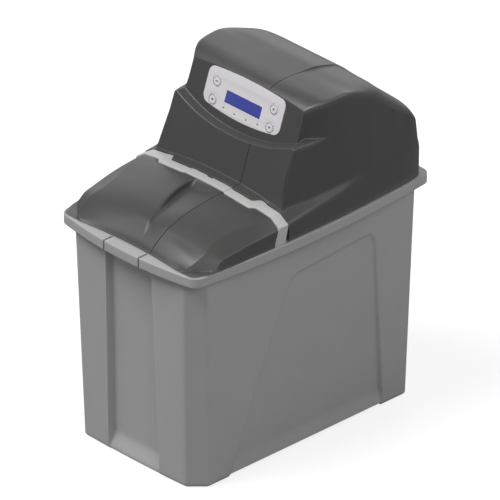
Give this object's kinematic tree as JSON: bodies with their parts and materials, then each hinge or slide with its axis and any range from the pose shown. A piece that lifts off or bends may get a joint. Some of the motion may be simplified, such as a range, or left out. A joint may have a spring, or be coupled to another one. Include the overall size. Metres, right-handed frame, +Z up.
{
  "type": "water softener",
  "caption": "Cabinet water softener: tapered brine tub with a hinged salt lid, lift-off domed valve hood with sloping control panel, and the tank and valve inside.",
  "frame": {"origin": "on the floor, under the middle of the tub", "axes": "+Z up, the salt lid towards -Y, the pipe stubs towards +Y, +X to the right seen from the front"},
  "size_m": [0.309, 0.496, 0.547],
  "materials": {
    "tub": "satin moulded, fine grain",
    "cover": "satin moulded, fine grain",
    "strap": "satin moulded",
    "steel": "zinc plated",
    "panel": "satin film",
    "window": "gloss",
    "module": "folded sheet",
    "board": "solder mask",
    "key": "satin film",
    "black_plastic": "moulded",
    "tank": "wound glass fibre",
    "white_plastic": "moulded",
    "resin": "beads",
    "seal": "smooth",
    "valve": "glass filled, moulded",
    "gear": "moulded",
    "motor": "zinc plated",
    "handle": "moulded",
    "line": "drawn tube",
    "well": "drawn tube",
    "float": "foamed",
    "grid": "moulded"
  },
  "bodies": {
    "cabinet": {"tub": "tub", "hinge_strap": "strap", "strap_screws": "steel", "resin_tank": "tank", "tank_base": "black_plastic", "riser_tube": "white_plastic", "lower_strainer": "white_plastic", "upper_strainer": "white_plastic", "resin_bed": "resin", "neck_seal": "seal", "valve_body": "valve", "valve_cap": "valve", "cap_screws": "steel", "motor_bracket": "steel", "drive_motor": "motor", "injector_plug": "black_plastic", "port_nuts": "black_plastic", "port_seals": "seal", "bypass_body": "valve", "drain_elbow": "black_plastic", "brine_elbow": "white_plastic", "brine_line": "line", "brine_well": "well", "safety_valve": "white_plastic", "salt_grid": "grid", "grid_legs": "grid", "overflow_elbow": "black_plastic", "overflow_nut": "black_plastic"},
    "lid": {"salt_lid": "cover", "hinge_pins": "steel"},
    "hood": {"valve_hood": "cover", "hood_flank_left": "cover", "hood_flank_right": "cover", "control_panel": "panel", "display_window": "window", "display_module": "module", "control_board": "board", "board_screws": "steel", "power_jack": "black_plastic"},
    "valve_drive": {"port_disc": "white_plastic", "drive_shaft": "steel", "drive_gear": "gear"},
    "pinion": {"motor_pinion": "gear"},
    "meter": {"meter_rotor": "white_plastic"},
    "left_handle": {"bypass_handle_left": "handle"},
    "right_handle": {"bypass_handle_right": "handle"},
    "well_cap": {"brine_well_cap": "well"},
    "float_unit": {"float": "float", "float_rod": "steel"},
    "key_upper_left_body": {"key_upper_left": "key"},
    "key_lower_left_body": {"key_lower_left": "key"},
    "key_upper_right_body": {"key_upper_right": "key"},
    "key_lower_right_body": {"key_lower_right": "key"}
  },
  "joints": [
    {"name": "lid_hinge", "type": "hinge", "parent": "cabinet", "child": "lid", "pos_m": [0, -0.0887, 0.4014], "axis": [-1, 0, 0], "range_deg": [0, 90]},
    {"name": "hood_lift", "type": "slide", "parent": "cabinet", "child": "hood", "axis": [0, 0, 1], "range_m": [0, 0.2]},
    {"name": "drive_turn", "type": "hinge", "parent": "cabinet", "child": "valve_drive", "pos_m": [0, 0.1, 0.472], "axis": [0, 0, 1], "continuous": true},
    {"name": "pinion_turn", "type": "hinge", "parent": "cabinet", "child": "pinion", "pos_m": [0, 0.055, 0.472], "axis": [0, 0, 1], "continuous": true},
    {"name": "meter_turn", "type": "hinge", "parent": "cabinet", "child": "meter", "pos_m": [0.032, 0.15, 0.428], "axis": [0, 1, 0], "continuous": true},
    {"name": "left_handle_turn", "type": "hinge", "parent": "cabinet", "child": "left_handle", "pos_m": [-0.032, 0.199, 0.428], "axis": [0, 0, 1], "range_deg": [0, 90]},
    {"name": "right_handle_turn", "type": "hinge", "parent": "cabinet", "child": "right_handle", "pos_m": [0.032, 0.199, 0.428], "axis": [0, 0, 1], "range_deg": [0, 90]},
    {"name": "well_cap_lift", "type": "slide", "parent": "cabinet", "child": "well_cap", "axis": [0, 0, 1], "range_m": [0, 0.03]},
    {"name": "float_rise", "type": "slide", "parent": "cabinet", "child": "float_unit", "axis": [0, 0, 1], "range_m": [0, 0.02]},
    {"name": "press_upper_left", "type": "slide", "parent": "hood", "child": "key_upper_left_body", "axis": [0, 0.9439, -0.3304], "range_m": [0, 0.0007], "stiffness_N_per_m": 400},
    {"name": "press_lower_left", "type": "slide", "parent": "hood", "child": "key_lower_left_body", "axis": [0, 0.9439, -0.3304], "range_m": [0, 0.0007], "stiffness_N_per_m": 400},
    {"name": "press_upper_right", "type": "slide", "parent": "hood", "child": "key_upper_right_body", "axis": [0, 0.9439, -0.3304], "range_m": [0, 0.0007], "stiffness_N_per_m": 400},
    {"name": "press_lower_right", "type": "slide", "parent": "hood", "child": "key_lower_right_body", "axis": [0, 0.9439, -0.3304], "range_m": [0, 0.0007], "stiffness_N_per_m": 400}
  ],
  "couplings": [
    {"joint": "pinion_turn", "follows": "drive_turn", "ratio": -4}
  ]
}
